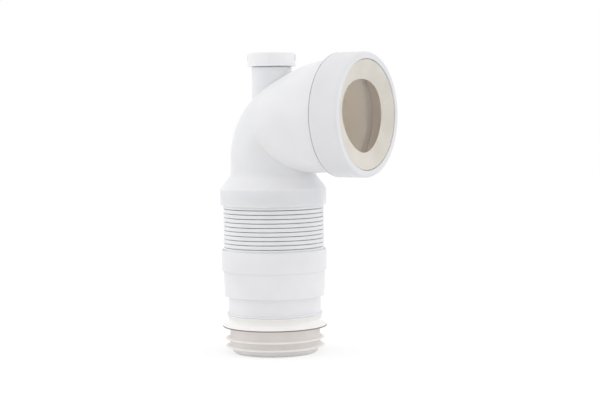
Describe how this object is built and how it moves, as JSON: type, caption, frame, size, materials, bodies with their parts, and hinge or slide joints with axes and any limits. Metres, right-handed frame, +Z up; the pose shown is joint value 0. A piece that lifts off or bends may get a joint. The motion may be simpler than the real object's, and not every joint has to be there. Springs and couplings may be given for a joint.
{
  "type": "toilet pan connector",
  "caption": "Right-angled flexible toilet pan connector with a corrugated bellows, finned outlet seal, lipped pan seal and a capped vent boss.",
  "frame": {"origin": "centre of the outlet's end, on the face that the part stands on", "axes": "+Z up the outlet axis towards the vent cap; +X the way the pan socket faces"},
  "size_m": [0.1723, 0.1278, 0.3157],
  "materials": {
    "white_pipe": "white moulded polypropylene, semi-gloss",
    "white_bellows": "white flexible polypropylene, satin",
    "cream_seal": "cream thermoplastic rubber, matt",
    "vent_rubber": "black rubber washer, matt"
  },
  "bodies": {
    "outlet": {"outlet_spigot": "white_pipe", "outlet_seal": "cream_seal"},
    "bellows": {"bellows": "white_bellows"},
    "elbow": {"elbow": "white_pipe", "pan_collar": "white_pipe", "pan_seal": "cream_seal"},
    "vent_washer": {"vent_washer": "vent_rubber"},
    "vent_cap": {"vent_cap": "white_pipe"}
  },
  "joints": [
    {"name": "bellows_extend", "type": "slide", "parent": "outlet", "child": "bellows", "axis": [0, 0, 1], "range_m": [0, 0.07], "deforming": ["bellows"]},
    {"name": "bellows_bend", "type": "hinge", "parent": "bellows", "child": "elbow", "pos_m": [0, 0, 0.1491], "axis": [1, 0, 0], "range_deg": [-6, 6]},
    {"name": "cap_lift", "type": "slide", "parent": "elbow", "child": "vent_washer", "axis": [0, 0, 1], "range_m": [0, 0.0092]},
    {"name": "cap_turn", "type": "hinge", "parent": "vent_washer", "child": "vent_cap", "pos_m": [0, 0, 0.3133], "axis": [0, 0, 1], "range_deg": [0, 1440]}
  ],
  "couplings": [
    {"joint": "cap_turn", "follows": "cap_lift", "rad_per_m": 2721.2}
  ]
}
